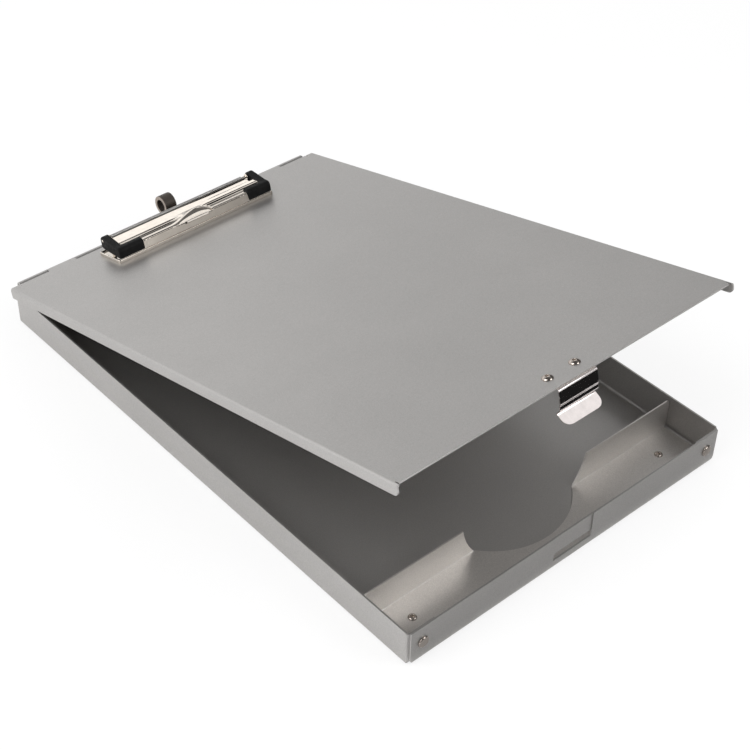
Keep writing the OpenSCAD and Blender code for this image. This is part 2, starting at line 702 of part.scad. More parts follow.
// Bounds an arch's section by a round back of the arch's width and rise
module arch_body(outline, inset) {
    radius = (arch_w * arch_w / 4 + arch_h * arch_h) / (2 * arch_h);
    intersection() {
        across(arch_w) polygon(outline);
        translate([0, -lip_crest[0], crest_z + arch_h - radius]) rotate([90, 0, 0])
            cylinder(r = radius - inset, h = 2 * jaw_reach, center = true, $fn = 96);
    }
}

// The lever: a tongue under the jaw's plate that passes below the rod to a roll
module jaw_lever() {
    plate_l = norm(plate_end - lip_crest);
    foot = [-roll_back, roll_z - roll_r + jaw_t / 2];
    lands = [for (t = land_shares) plate_end - t * plate_l * plate_dir - jaw_t * plate_up];
    rise = lands[0][1] - foot[1];
    middle = concat([foot], [for (t = tongue_shares) [t[0] * roll_back, foot[1] + t[1] * rise]], lands);
    color("slategray") on_clip() difference() {
        union() {
            across(roll_w) polygon(strip(middle, jaw_t));
            across(roll_w) translate([-roll_back, roll_z]) circle(roll_r);
        }
        translate([0, roll_back, roll_z]) rotate([0, 90, 0])
            cylinder(r = roll_hole_r, h = through, center = true);
    }
}

// A rubber cap's side arm: round over the rod, with a heel below it, and flat-topped over the lip
module cap_side_outline() {
    translate([0, rod_z]) circle(cap_r);
    polygon([[0, rod_z + cap_r], [cap_reach - cap_d, cap_top], [cap_reach - cap_bevel, cap_top],
        [cap_reach, cap_top - cap_bevel], [cap_reach, cap_low],
        [cap_bevel - cap_r, cap_heel], [-cap_r, cap_heel + cap_bevel], [-cap_r, rod_z]]);
}

// A rubber cap's front arm, which grips the lip from both sides
module cap_front_outline()
    polygon([[cap_reach - cap_d, cap_top], [cap_reach - cap_bevel, cap_top],
        [cap_reach, cap_top - cap_bevel], [cap_reach, cap_low], [cap_reach - cap_d, cap_low + cap_bevel]]);

module jaw_cap(side)
    color("black") on_clip() difference() {
        union() {
            across(cap_arm, side * (cap_out - cap_arm / 2)) cap_side_outline();
            across(cap_w, side * (cap_out - cap_w / 2)) cap_front_outline();
        }
        jaw_sheet(cap_fit, jaw_w + 2 * cap_fit);
        translate([-clip_w, 0, rod_z]) rotate([0, 90, 0]) cylinder(r = rod_r + pin_gap, h = 2 * clip_w);
    }

module jaw_cap_left() jaw_cap(-1);
module jaw_cap_right() jaw_cap(1);

tray_shell();
pen_divider();
divider_rivet_left();
divider_rivet_right();
front_rivet_left();
front_rivet_right();
hinge_leaf();
hinge_leaf_rivets();
hinge_pin();
lid_panel();
latch_foot();
latch_rivet_left();
latch_rivet_right();
latch_leaf();
clip_base();
clip_rivet_left();
clip_rivet_right();
clip_rod();
clip_spring();
jaw_plate();
jaw_lever();
jaw_cap_left();
jaw_cap_right();
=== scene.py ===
import json
import math

import bmesh
import bpy
import numpy as np
from mathutils import Matrix, Vector


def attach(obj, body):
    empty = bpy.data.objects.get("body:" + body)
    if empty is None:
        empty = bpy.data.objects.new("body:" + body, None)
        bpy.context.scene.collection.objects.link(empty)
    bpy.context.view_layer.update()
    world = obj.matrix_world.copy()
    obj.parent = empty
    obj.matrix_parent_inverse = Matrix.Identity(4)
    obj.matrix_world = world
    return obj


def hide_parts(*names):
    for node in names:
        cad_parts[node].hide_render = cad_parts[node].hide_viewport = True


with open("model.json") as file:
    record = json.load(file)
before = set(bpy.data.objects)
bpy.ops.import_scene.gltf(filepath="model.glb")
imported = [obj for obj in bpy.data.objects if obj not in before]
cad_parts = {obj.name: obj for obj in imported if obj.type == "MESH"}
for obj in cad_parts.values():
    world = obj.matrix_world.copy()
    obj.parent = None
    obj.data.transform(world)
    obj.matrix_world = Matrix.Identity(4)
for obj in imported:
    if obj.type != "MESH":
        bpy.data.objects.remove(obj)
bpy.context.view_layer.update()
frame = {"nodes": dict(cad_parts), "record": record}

MM = 0.001
RIGHTWARD, REARWARD, FRONTWARD, UPWARD = (1, 0, 0), (0, 1, 0), (0, -1, 0), (0, 0, 1)

# Where the lid stands: its hinge line, and the lid's rear edge and top seen from there
LID_OPEN = math.radians(15)
HINGE_Y, HINGE_Z = 180.0, 21.6
LID_BACK, KNUCKLE_R = 3.3, 2.7
LID_L = 354.4
# The clip's pivot rod: how far forward of the lid's rear edge, and how high above its top
ROD_U, ROD_Z = 15.0, 10.6


def in_tray(p):
    """Points (x, y, z) in mm, in the row frame in metres."""
    return np.asarray(p, float).reshape(-1, 3) * MM


def on_lid(p):
    """Points (x, forward of the lid's rear edge, above its top) in mm, in the row frame in metres."""
    p = np.asarray(p, float).reshape(-1, 3)
    a, b = p[:, 1] + LID_BACK, p[:, 2] + KNUCKLE_R
    c, s = math.cos(LID_OPEN), math.sin(LID_OPEN)
    return np.column_stack([p[:, 0], HINGE_Y - a * c + b * s, HINGE_Z + a * s + b * c]) * MM


def on_clip(p):
    """Points (x, forward of the clip's rod, above the lid) in mm, in the row frame in metres."""
    return on_lid(np.asarray(p, float).reshape(-1, 3) + (0, ROD_U, 0))


# Materials

def new_material(name, base, metallic, roughness, **sockets):
    """A node material with its constants on the shader's own sockets, its node tree and its shader."""
    mat = bpy.data.materials.new(name)
    mat.use_nodes = True
    tree = mat.node_tree
    shader = tree.nodes["Principled BSDF"]
    shader.inputs["Base Color"].default_value = (*base, 1)
    shader.inputs["Metallic"].default_value = metallic
    shader.inputs["Roughness"].default_value = roughness
    for key, value in sockets.items():
        shader.inputs[key.replace("_", " ")].default_value = value
    mat.diffuse_color = (*base, 1)
    return mat, tree, shader


def noise(tree, scale, detail=2.0, rough=0.5):
    """A noise texture in object space, its scale per metre."""
    coord = tree.nodes.new("ShaderNodeTexCoord")
    tex = tree.nodes.new("ShaderNodeTexNoise")
    tex.inputs["Scale"].default_value = scale
    tex.inputs["Detail"].default_value = detail
    tex.inputs["Roughness"].default_value = rough
    tree.links.new(coord.outputs["Object"], tex.inputs["Vector"])
    return tex.outputs["Fac"]


def ramp(tree, fac, stops):
    """A colour ramp over a factor socket, each stop a place and a grey value or a colour."""
    node = tree.nodes.new("ShaderNodeValToRGB")
    while len(node.color_ramp.elements) < len(stops):
        node.color_ramp.elements.new(0.5)
    for e, (at, value) in zip(node.color_ramp.elements, stops):
        e.position = at
        e.color = (*value, 1) if hasattr(value, "__len__") else (value, value, value, 1)
    tree.links.new(fac, node.inputs["Fac"])
    return node.outputs["Color"]


def bump(tree, shader, height, distance, strength):
    """Relief of a height socket, its depth in metres."""
    node = tree.nodes.new("ShaderNodeBump")
    node.inputs["Distance"].default_value = distance
    node.inputs["Strength"].default_value = strength
    tree.links.new(height, node.inputs["Height"])
    tree.links.new(node.outputs["Normal"], shader.inputs["Normal"])


# Grain of the surfaces, in features per metre
SPECKLE, CLOUD, SATIN, BLAST = 1900, 22, 700, 2600
STAIN, POLISH, WAVE = 260, 900, 90
MOULD_SHEEN, MOULD_SHADE, MOULD_GRAIN = 500, 150, 1500
BLAST_DEPTH, WAVE_DEPTH, MOULD_DEPTH = 0.00004, 0.00006, 0.00006


def aluminium(name, base, roughness):
    """Satin blasted and anodised sheet: a fine speckle, faint clouding and a soft grain."""
    mat, tree, shader = new_material(name, base, 0.9, roughness, Specular_IOR_Level=0.3)
    b = np.array(base)
    speckle = ramp(tree, noise(tree, SPECKLE, 3, 0.65),
                   [(0.3, tuple(b * 0.88)), (0.5, tuple(b)), (0.72, tuple(b * 1.12))])
    cloud = ramp(tree, noise(tree, CLOUD, 3, 0.55), [(0.3, 0.965), (0.7, 1.0)])
    mix = tree.nodes.new("ShaderNodeMix")
    mix.data_type, mix.blend_type = "RGBA", "MULTIPLY"
    mix.inputs["Factor"].default_value = 1.0
    tree.links.new(speckle, mix.inputs["A"])
    tree.links.new(cloud, mix.inputs["B"])
    tree.links.new(mix.outputs["Result"], shader.inputs["Base Color"])
    sheen = ramp(tree, noise(tree, SATIN), [(0.3, roughness - 0.03), (0.7, roughness + 0.04)])
    tree.links.new(sheen, shader.inputs["Roughness"])
    bump(tree, shader, noise(tree, BLAST, 2, 0.6), BLAST_DEPTH, 0.5)
    return mat


def metal(name, base, roughness, wave, metallic=1.0):
    """Bright sheet or wire: a polish that varies, and the faint waviness of pressed and plated steel."""
    mat, tree, shader = new_material(name, base, metallic, roughness)
    b = np.array(base)
    stain = ramp(tree, noise(tree, STAIN, 3),
                 [(0.3, tuple(b * 0.95)), (0.7, tuple(np.minimum(b * 1.04, 1)))])
    polish = ramp(tree, noise(tree, POLISH, 3), [(0.35, roughness * 0.8), (0.7, roughness * 1.3)])
    tree.links.new(stain, shader.inputs["Base Color"])
    tree.links.new(polish, shader.inputs["Roughness"])
    bump(tree, shader, noise(tree, WAVE), WAVE_DEPTH, wave)
    return mat


def rubber():
    """Moulded black rubber with a dull, slightly uneven surface."""
    black = (0.006, 0.006, 0.007)
    mat, tree, shader = new_material("black_rubber", black, 0.0, 0.45, Specular_IOR_Level=0.2)
    sheen = ramp(tree, noise(tree, MOULD_SHEEN, 3), [(0.35, 0.48), (0.7, 0.68)])
    shade = ramp(tree, noise(tree, MOULD_SHADE), [(0.3, 0.004), (0.7, 0.007)])
    tree.links.new(sheen, shader.inputs["Roughness"])
    tree.links.new(shade, shader.inputs["Base Color"])
    bump(tree, shader, noise(tree, MOULD_GRAIN, 3, 0.6), MOULD_DEPTH, 0.6)
    return mat


# One material for each of the CAD's slots
MATERIALS = {
    "aluminium": aluminium("anodised_aluminium", (0.470, 0.458, 0.447), 0.43),
    "bright_nickel": metal("bright_nickel", (0.76, 0.70, 0.63), 0.055, 0.06),
    "rivet_metal": metal("polished_rivet", (0.46, 0.41, 0.37), 0.09, 0.2),
    "spring_steel": metal("spring_steel", (0.36, 0.35, 0.34), 0.38, 0.1),
    "lever_steel": metal("lever_steel", (0.085, 0.072, 0.062), 0.5, 0.5, 0.6),
    "black_rubber": rubber(),
}
# Materials that differ from their slot's: the divider's lighter copy of the aluminium, whose extra
# brightness is painted light falling into the pen compartment, and the finishes of the latch's free end and
# the cut edge of the lever
DIVIDER_PAINTED_LIGHT = aluminium("divider_aluminium_painted_light", (0.66, 0.635, 0.61), 0.42)
MIRROR_STRIP = metal("polished_strip", (0.71, 0.66, 0.645), 0.05, 0.015)
WORN_EDGE = metal("worn_lever_edge", (0.33, 0.28, 0.24), 0.3, 0.8)

# Pieces

# Eased edges: how many faces go round each, and how many degrees an edge of a CAD mesh turns to be eased
EASE_SEGMENTS, FOLD_ANGLE = 2, 32
# A CAD mesh is welded within a distance in metres, and its flat faces joined within an angle in degrees
WELD, FLAT_ANGLE = 0.000004, 0.5
SHARP_ANGLE = 50


def place(obj, body, slot, nodes, mat, angle):
    """Shades a piece smooth up to an angle in degrees, gives it its material, hangs it on its body and hides
    the CAD nodes it stands in for.
    """
    bpy.context.scene.collection.objects.link(obj)
    obj.data.materials.clear()
    obj.data.materials.append(mat or MATERIALS[slot])
    obj.data.shade_smooth()
    obj.data.set_sharp_from_angle(angle=math.radians(angle))
    flat = obj.modifiers.new("flat_faces", "WEIGHTED_NORMAL")
    flat.keep_sharp = True
    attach(obj, body)
    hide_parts(*nodes)
    return obj


def ease(bm, width, angle):
    """Bevels the edges of a mesh that turn by more than an angle in degrees, by a width in mm."""
    sharp = [e for e in bm.edges if len(e.link_faces) == 2 and e.calc_face_angle() > math.radians(angle)]
    bmesh.ops.bevel(bm, geom=sharp, offset=width * MM, offset_type="OFFSET", segments=EASE_SEGMENTS,
                    profile=0.5, affect="EDGES", clamp_overlap=True)
    bmesh.ops.triangulate(bm, faces=[f for f in bm.faces if len(f.verts) > 4])


def eased(node, name, body, slot, width, mat=None):
    """A piece of the CAD node's own form with its raw edges eased, as on blanked and deburred sheet."""
    bm = bmesh.new()
    bm.from_mesh(frame["nodes"][node].data)
    bmesh.ops.remove_doubles(bm, verts=bm.verts, dist=WELD)
    bmesh.ops.dissolve_limit(bm, angle_limit=math.radians(FLAT_ANGLE), verts=bm.verts, edges=bm.edges)
    ease(bm, width, FOLD_ANGLE)
    mesh = bpy.data.meshes.new(name)
    bm.to_mesh(mesh)
    bm.free()
    return place(bpy.data.objects.new(name, mesh), body, slot, [node], mat, SHARP_ANGLE)


def piece(name, parts, at, body, slot, nodes, mat=None, width=0.0, angle=SHARP_ANGLE, cut_mat=None):
    """One piece out of parts, each its points in mm and its faces, laid out by at and with its edges eased;
    cut_mat goes on the faces that look along X."""
    bm = bmesh.new()
    for points, faces in parts:
        verts = [bm.verts.new(p) for p in at(points)]
        for face in faces:
            bm.faces.new([verts[i] for i in face])
    bmesh.ops.delete(bm, geom=[v for v in bm.verts if not v.link_faces], context="VERTS")
    bmesh.ops.recalc_face_normals(bm, faces=bm.faces)
    if width:
        ease(bm, width, angle)
    cut_faces = [abs(f.normal.x) > 0.5 for f in bm.faces] if cut_mat else []
    mesh = bpy.data.meshes.new(name)
    bm.to_mesh(mesh)
    bm.free()
    obj = place(bpy.data.objects.new(name, mesh), body, slot, nodes, mat, angle)
    if cut_mat:
        mesh.materials.append(cut_mat)
        mesh.polygons.foreach_set("material_index", cut_faces)
    return obj


def loft(rings):
    """The skin over closed rings of points, with a face over each end."""
    rings = np.asarray(rings, float)
    n, m = rings.shape[:2]
    faces = [(i * m + j, i * m + (j + 1) % m, (i + 1) * m + (j + 1) % m, (i + 1) * m + j)
             for i in range(n - 1) for j in range(m)]
    faces += [tuple(range(m))[::-1], tuple(range((n - 1) * m, n * m))]
    return rings.reshape(-1, 3), faces


def lathe(profile, centre, axis, across, steps=48):
    """A turned part: its profile gives radius and height along the axis from the centre."""
    centre, axis, across = (np.asarray(v, float) for v in (centre, axis, across))
    third = np.cross(axis, across)
    turn = np.linspace(0, 2 * math.pi, steps, endpoint=False)
    return loft([centre + h * axis + r * (np.cos(turn)[:, None] * across + np.sin(turn)[:, None] * third)
                 for r, h in profile])


def skin(grid, thickness, keep=None, side=0.0):
    """Sheet metal over a grid of points: side 0 lays it half on each face, and side 1 all below."""
    g = np.asarray(grid, float)
    n, m = g.shape[:2]
    keep = np.ones((n - 1, m - 1), bool) if keep is None else keep

    def along(axis):
        d = np.diff(g, axis=axis)
        d /= np.maximum(np.linalg.norm(d, axis=2, keepdims=True), 1e-9)
        first, last = (d[:1], d[-1:]) if axis == 0 else (d[:, :1], d[:, -1:])
        return np.concatenate([first, d], axis) + np.concatenate([d, last], axis)

    normal = np.cross(along(0), along(1))
    normal /= np.maximum(np.linalg.norm(normal, axis=2, keepdims=True), 1e-9)
    top = g + normal * thickness * (1 - side) / 2
    low = g - normal * thickness * (1 + side) / 2
    at = np.arange(n * m).reshape(n, m)
    faces = []
    for i in range(n - 1):
        for j in range(m - 1):
            if not keep[i, j]:
                continue
            quad = [at[i, j], at[i + 1, j], at[i + 1, j + 1], at[i, j + 1]]
            faces += [tuple(quad), tuple(q + n * m for q in quad[::-1])]
            beyond = [(i, j - 1), (i + 1, j), (i, j + 1), (i - 1, j)]
            for k, (a, b) in enumerate(beyond):
                if not (0 <= a < n - 1 and 0 <= b < m - 1 and keep[a, b]):
                    p, q = quad[k], quad[(k + 1) % 4]
                    faces.append((q, p, p + n * m, q + n * m))
    return np.concatenate([top.reshape(-1, 3), low.reshape(-1, 3)]), faces


def bend(start, corner, end, steps):
    """Points along a curve from a start to an end that leans towards a corner."""
    return [(1 - t) ** 2 * start + 2 * t * (1 - t) * corner + t * t * end for t in np.linspace(0, 1, steps)]


def rounded(points, radius, steps=5):
    """A line through points with its corners rounded off, each over at most a radius on either side."""
    pts = [np.asarray(p, float) for p in points]
    out = [pts[0]]
    for a, b, c in zip(pts, pts[1:], pts[2:]):
        reach = min(radius, 0.48 * np.linalg.norm(b - a), 0.48 * np.linalg.norm(c - b))
        p = b + reach * (a - b) / np.linalg.norm(a - b)
        q = b + reach * (c - b) / np.linalg.norm(c - b)
        out += bend(p, b, q, steps)
    return np.array(out + [pts[-1]])


def arc(centre, radius, start, end, steps):
    """Points of an arc round a centre, between two angles in degrees."""
    turn = np.radians(np.linspace(start, end, steps))
    return np.column_stack([centre[0] + radius * np.cos(turn), centre[1] + radius * np.sin(turn)])


def plates(outline, *ends):
    """Flat plates of one outline forward and up, each between two places across."""
    return [loft([[(x, u, h) for u, h in outline] for x in pair]) for pair in ends]


# The CAD's own nodes wear the same materials
SLOTS = {s["node"]: s["material_slot"] for s in frame["record"]["subparts"]}
for node in [n for members in frame["record"]["behaviour"]["bodies"].values() for n in members]:
    cad_mesh = frame["nodes"][node].data
    cad_mesh.materials.clear()
    cad_mesh.materials.append(MATERIALS[SLOTS[node]])

# The tray, its divider, the lid and the hinge leaf: blanked, folded and deburred sheet
eased("tray_shell", "tray_sheet", "tray", "aluminium", 0.18)
# The divider wears the lighter copy of the aluminium, its extra brightness painted light
eased("pen_divider", "divider_sheet", "tray", "aluminium", 0.22, DIVIDER_PAINTED_LIGHT)
eased("hinge_leaf", "hinge_leaf_sheet", "tray", "aluminium", 0.12)
eased("lid_panel", "lid_sheet", "lid", "aluminium", 0.18)
eased("latch_foot", "latch_foot_sheet", "lid", "bright_nickel", 0.08)

# Rivets: half profiles of radius and height over the sheet's face, as shares of the head's diameter
BUTTON = [(0.02, -0.3), (0.26, -0.3), (0.26, 0.0), (0.47, 0.0), (0.5, 0.02), (0.5, 0.07), (0.485, 0.12),
          (0.455, 0.16), (0.41, 0.185), (0.35, 0.2), (0.02, 0.205)]
POP = [(0.02, -0.3), (0.26, -0.3), (0.26, 0.0), (0.485, 0.0), (0.5, 0.015), (0.497, 0.04), (0.46, 0.095),
       (0.4, 0.145), (0.32, 0.188), (0.24, 0.218), (0.185, 0.232), (0.155, 0.228), (0.14, 0.205),
       (0.135, 0.12), (0.02, 0.11)]
HOLLOW = [(0.02, -0.02), (0.17, -0.02), (0.18, 0.1), (0.2, 0.16), (0.235, 0.185), (0.3, 0.18), (0.38, 0.15),
          (0.45, 0.1), (0.49, 0.04), (0.495, 0.0), (0.26, 0.0), (0.26, -0.26), (0.35, -0.355),
          (0.02, -0.355)]
TAIL = [(0.02, 0.0), (0.4, 0.0), (0.4, 0.05), (0.36, 0.12), (0.28, 0.155), (0.16, 0.16), (0.14, 0.1),
        (0.02, 0.09)]
# Their head diameters, and for those with a tail how thick the stack of sheets is that they grip
BUTTON_D, DIVIDER_RIVET_D, LATCH_RIVET_D, CLIP_RIVET_D = 6.8, 5, 6.4, 5
CORNER_GRIP, LATCH_GRIP, CLIP_GRIP = 2, 1.5, 2.2
# Their places: half spacings across, and where each stands on its sheet
CORNER_RIVET_X, INNER_RIVET_X, DIVIDER_RIVET_X, LATCH_RIVET_X, CLIP_RIVET_X = 106, 39.6, 93, 9.5, 30
FRONT_FACE_Y, FRONT_RIVET_Z = -177, 12.5
LEAF_FACE_Y, LEAF_RIVET_Z = 178, 12.6
DIVIDER_RIVET_Y, DIVIDER_STRIP_Z = -155.5, 1.8
LATCH_RIVET_U = LID_L - 10
CLIP_RIVET_U, PAN_FLOOR = 5.8, 1.2


def rivet(profile, d, centre, axis, grip=None):
    """A turned rivet head of diameter d, with its tail upset on the far side of what it grips."""
    parts = [lathe(np.array(profile) * d, centre, axis, RIGHTWARD)]
    if grip:
        far = np.asarray(centre, float) - np.asarray(axis, float) * grip
        parts.append(lathe(np.array(TAIL) * d, far, -np.asarray(axis, float), RIGHTWARD))
    return parts


for side, x in (("left", -1), ("right", 1)):
    piece(f"front_rivet_{side}_head",
          rivet(BUTTON, BUTTON_D, (x * CORNER_RIVET_X, FRONT_FACE_Y, FRONT_RIVET_Z), FRONTWARD, CORNER_GRIP),
          in_tray, "tray", "rivet_metal", [f"front_rivet_{side}"])
    piece(f"divider_rivet_{side}_head",
          rivet(HOLLOW, DIVIDER_RIVET_D, (x * DIVIDER_RIVET_X, DIVIDER_RIVET_Y, DIVIDER_STRIP_Z), UPWARD),
          in_tray, "tray", "rivet_metal", [f"divider_rivet_{side}"])
    piece(f"latch_rivet_{side}_head",
          rivet(POP, LATCH_RIVET_D, (x * LATCH_RIVET_X, LATCH_RIVET_U, 0), UPWARD, LATCH_GRIP),
          on_lid, "lid", "rivet_metal", [f"latch_rivet_{side}"])
    piece(f"clip_rivet_{side}_head",
          rivet(POP, CLIP_RIVET_D, (x * CLIP_RIVET_X, CLIP_RIVET_U, PAN_FLOOR), UPWARD, CLIP_GRIP),
          on_clip, "lid", "rivet_metal", [f"clip_rivet_{side}"])

leaf_rivets = [rivet(BUTTON, BUTTON_D, (x, LEAF_FACE_Y, LEAF_RIVET_Z), REARWARD, CORNER_GRIP)
               for x in (-CORNER_RIVET_X, -INNER_RIVET_X, INNER_RIVET_X, CORNER_RIVET_X)]
piece("hinge_leaf_rivet_heads", sum(leaf_rivets, []), in_tray, "tray", "rivet_metal", ["hinge_leaf_rivets"])


def rod(end, length, at_height, steps=48):
    """A rod along X at a place in its section, with one end's radii and depths repeated at the other."""
    profile = end + [(r, length - h) for r, h in end[::-1]]
    return lathe(profile, (-length / 2, *at_height), RIGHTWARD, REARWARD, steps)


PIN_END, PIN_L = [(0.02, 0), (1.2, 0), (1.5, 0.15), (1.62, 0.45)], 220
piece("hinge_pin_rod", [rod(PIN_END, PIN_L, (HINGE_Y, HINGE_Z))], in_tray,
      "tray", "spring_steel", ["hinge_pin"])

# The latch's springing strip, forward and up from the lid's front edge: bend, leg, bead, hook and thumb tab
LATCH_W, STRIP_T, STRIP_BEND, THUMB_R, TAB_STEPS = 27.0, 0.5, 0.55, 4.8, 24
LATCH_BEND = np.vstack([[(0.36, -1.25)], arc((0.35, -2.15), 0.9, 75, 0, 7)])
LATCH_LEG = [(1.25, -2.4), (1.25, -5.5), (1.25, -8.8), (1.25, -9.45), (0.55, -10.3), (0.55, -13.1)]
LATCH_HOOK = arc((-1.5, -15.65), 0.5, 135, 225, 7)
TAB_END = (4.2, -21.15)


def latch_strip():
    line = rounded(np.vstack([LATCH_BEND, LATCH_LEG, LATCH_HOOK, [TAB_END]]), STRIP_BEND)
    tab = [line[-2] + t * (line[-1] - line[-2]) for t in np.linspace(0, 1, TAB_STEPS)[1:]]
    line = np.vstack([line[:-1], tab])
    left = np.linalg.norm(line - TAB_END, axis=1)
    round_end = np.sqrt(np.maximum(THUMB_R ** 2 - np.maximum(THUMB_R - left, 0) ** 2, 0))
    half = LATCH_W / 2 - THUMB_R + round_end
    return skin([[(x, LID_L + u, h) for x in (-w, 0, w)] for (u, h), w in zip(line, half)], STRIP_T)


piece("latch_strip", [latch_strip()], on_lid, "latch", "bright_nickel", ["latch_leaf"], MIRROR_STRIP,
      width=0.07)

# The clip's base: a low pan of bright sheet with rounded edges, and two small ears for the rod
BASE_X, BASE_BACK, BASE_FRONT, BASE_CORNER = 59.0, -5.8, 17.4, 1.4
PAN_SECTION = [(0.15, 0), (0.03, 0.06), (0, 0.2), (0, 1.8), (0.06, 2.05), (0.22, 2.22), (0.45, 2.3),
               (0.68, 2.24), (0.84, 2.05), (0.9, 1.6), (1.1, 1.3), (1.5, PAN_FLOOR), (2.2, PAN_FLOOR)]
EAR_X, EAR_R, EAR_FOOT, LUG_HALF_T = 52.2, 1.9, 1.1, 0.4


def pan_ring(inset, h):
    """One level of the pan: a rectangle with round corners, drawn in from the base's outline."""
    r = max(BASE_CORNER - inset, 0.3)
    x, back, front = BASE_X - inset, BASE_BACK + inset, BASE_FRONT - inset
    corners = [(x - r, front - r, 0), (-x + r, front - r, 90),
               (-x + r, back + r, 180), (x - r, back + r, 270)]
    return [(u, v, h) for cx, cu, turn in corners for u, v in arc((cx, cu), r, turn, turn + 90, 5)]


def lug(x):
    """The two places across that a plate of the lugs' thickness lies between."""
    return x - LUG_HALF_T, x + LUG_HALF_T


ear_outline = np.vstack([[(EAR_R, EAR_FOOT)], arc((0, ROD_Z), EAR_R, 0, 180, 15), [(-EAR_R, EAR_FOOT)]])
piece("clip_base_pan", [loft([pan_ring(*level) for level in PAN_SECTION])]
      + plates(ear_outline, lug(-EAR_X), lug(EAR_X)), on_clip, "lid", "bright_nickel", ["clip_base"],
      width=0.12, angle=60)
ROD_END, ROD_L = [(0.02, 0), (0.62, 0), (0.88, 0.1), (1.0, 0.35)], 116
piece("clip_pivot_rod", [rod(ROD_END, ROD_L, (0, ROD_Z), 28)], on_clip, "lid", "bright_nickel", ["clip_rod"])

# The torsion spring: close-wound wire round the rod, with its turns and the sides of its wire
WIRE_R, COIL_R, COIL_START, COIL_L, PITCH = 0.3, 1.32, -51.4, 99.6, 0.64
PER_TURN, WIRE_SIDES = 14, 6


def coil():
    n = int(COIL_L / PITCH * PER_TURN)
    turns = np.arange(n + 1) / PER_TURN
    t = turns * 2 * math.pi
    centre = np.column_stack([COIL_START + turns * PITCH, COIL_R * np.cos(t), ROD_Z + COIL_R * np.sin(t)])
    out = np.column_stack([np.zeros(n + 1), np.cos(t), np.sin(t)])
    around = np.linspace(0, 2 * math.pi, WIRE_SIDES, endpoint=False)
    return loft([[c + WIRE_R * (math.cos(a) * o + math.sin(a) * np.array(RIGHTWARD)) for a in around]
                 for c, o in zip(centre, out)])


piece("clip_coil_spring", [coil()], on_clip, "lid", "spring_steel", ["clip_spring"])

# The jaw: a lip, a rounded crest and a lightly troughed plate, with an arch pressed up behind a slit
JAW_T, JAW_X, CHEEK_X, JAW_COLUMNS = 0.65, 55.0, 54.6, 289
FOOT, CREST = np.array([17.15, 2.66]), np.array([16.36, 7.62])
LIP_L = np.linalg.norm(CREST - FOOT)
LIP_UP = (CREST - FOOT) / LIP_L
PLATE_BACK, PLATE_UP = np.array([-0.976, 0.2185]), np.array([0.2185, 0.976])
# The arch: the slit's ends, the arch's left and right ends and its peak, and how far it leans back and rises
SLIT_X, ARCH_X, ARCH_PEAK, ARCH_BACK, ARCH_RISE = (-8.3, 9.6), (-18.0, 14.0), 3.0, -2.7, 3.3
# How far back over the plate its lean and its rise fade out
ARCH_LEAN_L, ARCH_RISE_L = 7.4, 8.2
# The slit lies under the crest, which is rounded off from below it and from behind it
SLIT_BELOW, ROUND_BELOW, ROUND_BEHIND = 0.62, 0.42, 0.75
# What is pressed into the plate: its height, how far back its middle is, and its reach
TROUGH, SWELL, GROOVE = (-0.34, 2.3, 1.0), (0.32, 6.3, 1.9), (-0.12, 5.4, 0.62)
# The plate's drop at the rear: its height, where it begins and over what length
REAR_DROP, REAR_FROM, REAR_REACH = -0.22, 9.5, 4
# The rows of points up the lip, up the arch's face as shares, and back over the plate
LIP_ROWS = (0, 0.35, 0.7, 1.5, 2.3, 3.0, 3.5)
FACE_ROWS = (0, 0.22, 0.44, 0.66)
PLATE_ROWS = (1.1, 1.5, 1.9, 2.3, 2.7, 3.1, 3.6, 4.1, 4.6, 4.85, 5.1, 5.3, 5.5, 5.75, 6.0, 6.5, 7.1, 7.7,
              8.3, 9.0, 9.8, 10.4, 11.2, 12.0, 12.8, 13.4, 14.0)
# The window at the plate's right end: its ends across, and how many rows of the plate it takes from the rear
WINDOW_X, WINDOW_ROWS = (49.2, 53.8), 6
DIMPLES_X, DIMPLE_Z, DIMPLE_DEPTH, DIMPLE_R = (-37.2, -35.0, 35.0, 37.2), 5.3, 0.12, 0.45


def smooth(t):
    t = np.clip(t, 0, 1)
    return t * t * (3 - 2 * t)


def pressed(t, form):
    """The height of a trough or swell at a distance back over the plate."""
    height, middle, reach = form
    return height * math.exp(-((t - middle) / reach) ** 2)


def jaw_section(x):
    """The jaw's outer face at one place across: from its foot up the lip, over the crest and back."""
    end = ARCH_X[0] if x < ARCH_PEAK else ARCH_X[1]
    away = (x - ARCH_PEAK) / (end - ARCH_PEAK)
    bell = 0.5 + 0.5 * math.cos(math.pi * away) if away < 1 else 0.0
    slit = FOOT + (LIP_L - SLIT_BELOW) * LIP_UP
    crest = CREST + bell * np.array([ARCH_BACK, ARCH_RISE])

    def plate(t):
        height = (pressed(t, TROUGH) + pressed(t, GROOVE)) * (1 - bell) + pressed(t, SWELL)
        height += REAR_DROP * smooth((t - REAR_FROM) / REAR_REACH)
        lean, rise = 1 - smooth(t / ARCH_LEAN_L), 1 - smooth(t / ARCH_RISE_L)
        return (CREST + t * PLATE_BACK + height * PLATE_UP
                + bell * np.array([ARCH_BACK * lean, ARCH_RISE * rise]))

    lip = [FOOT + f * LIP_UP for f in LIP_ROWS]
    face = [slit + f * (crest - slit) + bell * 0.5 * f * (1 - f) * np.array([1, 0.6]) for f in FACE_ROWS]
    before = crest + (slit - crest) / np.linalg.norm(slit - crest) * ROUND_BELOW
    return lip + face + bend(before, crest, plate(ROUND_BEHIND), 7) + [plate(t) for t in PLATE_ROWS]


